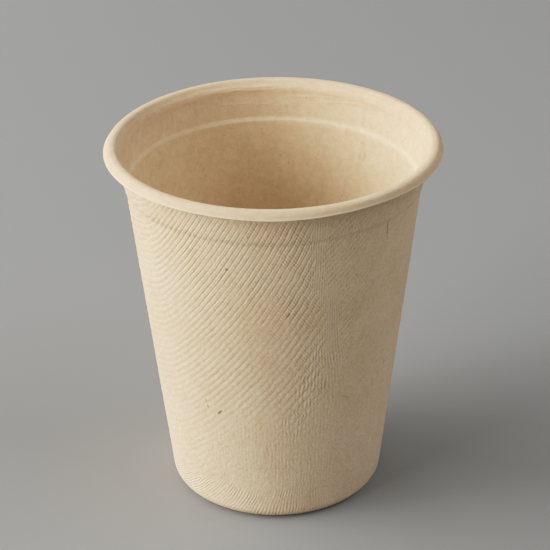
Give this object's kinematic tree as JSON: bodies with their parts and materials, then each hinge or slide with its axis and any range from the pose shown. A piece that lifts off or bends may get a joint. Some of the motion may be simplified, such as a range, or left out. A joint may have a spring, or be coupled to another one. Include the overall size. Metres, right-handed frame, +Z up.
{
  "type": "pulp cup",
  "caption": "Tapered open drinking cup of moulded sugarcane fibre with a flared, turned-down rim, an inner stacking step and a raised base panel.",
  "frame": {"origin": "on the table under the centre of the foot ring", "axes": "+Z up along the cup's axis, towards the open mouth"},
  "size_m": [0.08, 0.08, 0.09],
  "materials": {
    "pressed_fibre": "matte pressed sugarcane fibre: forming-screen imprint outside, smooth inside and on the rim"
  },
  "bodies": {
    "root": {"moulded_cup": "pressed_fibre"}
  },
  "joints": []
}
